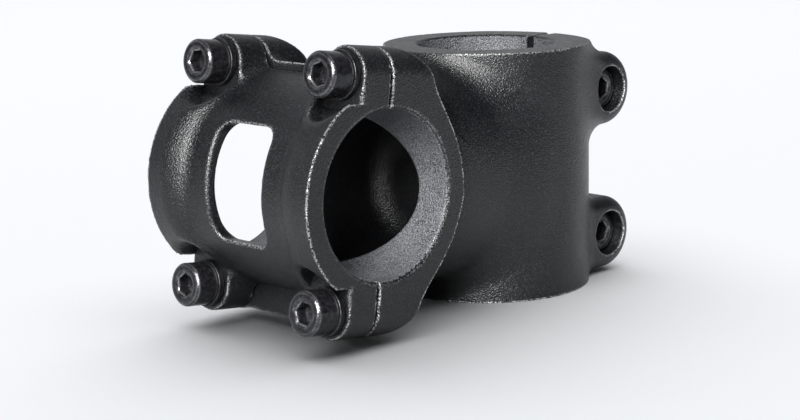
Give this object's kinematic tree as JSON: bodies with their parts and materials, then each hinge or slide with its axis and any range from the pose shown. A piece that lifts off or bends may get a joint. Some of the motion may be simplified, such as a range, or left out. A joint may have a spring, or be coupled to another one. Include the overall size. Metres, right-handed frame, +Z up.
{
  "type": "handlebar stem",
  "caption": "Short matte black threadless handlebar stem: a bolted faceplate clamps the bar in front, a split sleeve clamps the steerer behind.",
  "frame": {"origin": "centre of the bounding box, at the height of the steerer clamp's lower face, which is what it stands on", "axes": "+Z up along the steerer axis, +X forward towards the handlebar, +Y to the rider's left along the handlebar"},
  "size_m": [0.1016, 0.0448, 0.0566],
  "materials": {
    "stem_body": "matte black, fine blasted grain",
    "faceplate": "matte black, fine blasted grain",
    "bolt": "black oxide, satin",
    "washer": "black oxide, satin"
  },
  "bodies": {
    "root": {"stem_body": "stem_body"},
    "faceplate": {"faceplate": "faceplate"},
    "faceplate_upper_left_travel": {"faceplate_washer_upper_left": "washer"},
    "faceplate_upper_left_screw": {"faceplate_bolt_upper_left": "bolt"},
    "faceplate_upper_right_travel": {"faceplate_washer_upper_right": "washer"},
    "faceplate_upper_right_screw": {"faceplate_bolt_upper_right": "bolt"},
    "faceplate_lower_left_travel": {"faceplate_washer_lower_left": "washer"},
    "faceplate_lower_left_screw": {"faceplate_bolt_lower_left": "bolt"},
    "faceplate_lower_right_travel": {"faceplate_washer_lower_right": "washer"},
    "faceplate_lower_right_screw": {"faceplate_bolt_lower_right": "bolt"},
    "pinch_upper_travel": {"pinch_washer_upper": "washer"},
    "pinch_upper_screw": {"pinch_bolt_upper": "bolt"},
    "pinch_lower_travel": {"pinch_washer_lower": "washer"},
    "pinch_lower_screw": {"pinch_bolt_lower": "bolt"}
  },
  "joints": [
    {"name": "faceplate_slide", "type": "slide", "parent": "root", "child": "faceplate", "axis": [0.9925, 0, 0.1219], "range_m": [0, 0.035]},
    {"name": "faceplate_upper_left_travel", "type": "slide", "parent": "faceplate", "child": "faceplate_upper_left_travel", "axis": [0.9925, 0, 0.1219], "range_m": [0, 0.0096]},
    {"name": "faceplate_upper_left_turn", "type": "hinge", "parent": "faceplate_upper_left_travel", "child": "faceplate_upper_left_screw", "pos_m": [0.03591, 0.0169, 0.05125], "axis": [0.9925, 0, 0.1219], "range_deg": [0, 4325]},
    {"name": "faceplate_upper_right_travel", "type": "slide", "parent": "faceplate", "child": "faceplate_upper_right_travel", "axis": [0.9925, 0, 0.1219], "range_m": [0, 0.0096]},
    {"name": "faceplate_upper_right_turn", "type": "hinge", "parent": "faceplate_upper_right_travel", "child": "faceplate_upper_right_screw", "pos_m": [0.03591, -0.0169, 0.05125], "axis": [0.9925, 0, 0.1219], "range_deg": [0, 4325]},
    {"name": "faceplate_lower_left_travel", "type": "slide", "parent": "faceplate", "child": "faceplate_lower_left_travel", "axis": [0.9925, 0, 0.1219], "range_m": [0, 0.0096]},
    {"name": "faceplate_lower_left_turn", "type": "hinge", "parent": "faceplate_lower_left_travel", "child": "faceplate_lower_left_screw", "pos_m": [0.04118, 0.0169, 0.00837], "axis": [0.9925, 0, 0.1219], "range_deg": [0, 4325]},
    {"name": "faceplate_lower_right_travel", "type": "slide", "parent": "faceplate", "child": "faceplate_lower_right_travel", "axis": [0.9925, 0, 0.1219], "range_m": [0, 0.0096]},
    {"name": "faceplate_lower_right_turn", "type": "hinge", "parent": "faceplate_lower_right_travel", "child": "faceplate_lower_right_screw", "pos_m": [0.04118, -0.0169, 0.00837], "axis": [0.9925, 0, 0.1219], "range_deg": [0, 4325]},
    {"name": "pinch_upper_travel", "type": "slide", "parent": "root", "child": "pinch_upper_travel", "axis": [0, 1, 0], "range_m": [0, 0.008]},
    {"name": "pinch_upper_turn", "type": "hinge", "parent": "pinch_upper_travel", "child": "pinch_upper_screw", "pos_m": [-0.043, 0.008, 0.0399], "axis": [0, 1, 0], "range_deg": [0, 3605]},
    {"name": "pinch_lower_travel", "type": "slide", "parent": "root", "child": "pinch_lower_travel", "axis": [0, 1, 0], "range_m": [0, 0.008]},
    {"name": "pinch_lower_turn", "type": "hinge", "parent": "pinch_lower_travel", "child": "pinch_lower_screw", "pos_m": [-0.043, 0.008, 0.0086], "axis": [0, 1, 0], "range_deg": [0, 3605]}
  ],
  "couplings": [
    {"joint": "faceplate_upper_left_turn", "follows": "faceplate_upper_left_travel", "rad_per_m": 7854},
    {"joint": "faceplate_upper_right_turn", "follows": "faceplate_upper_right_travel", "rad_per_m": 7854},
    {"joint": "faceplate_lower_left_turn", "follows": "faceplate_lower_left_travel", "rad_per_m": 7854},
    {"joint": "faceplate_lower_right_turn", "follows": "faceplate_lower_right_travel", "rad_per_m": 7854},
    {"joint": "pinch_upper_turn", "follows": "pinch_upper_travel", "rad_per_m": 7854},
    {"joint": "pinch_lower_turn", "follows": "pinch_lower_travel", "rad_per_m": 7854}
  ]
}
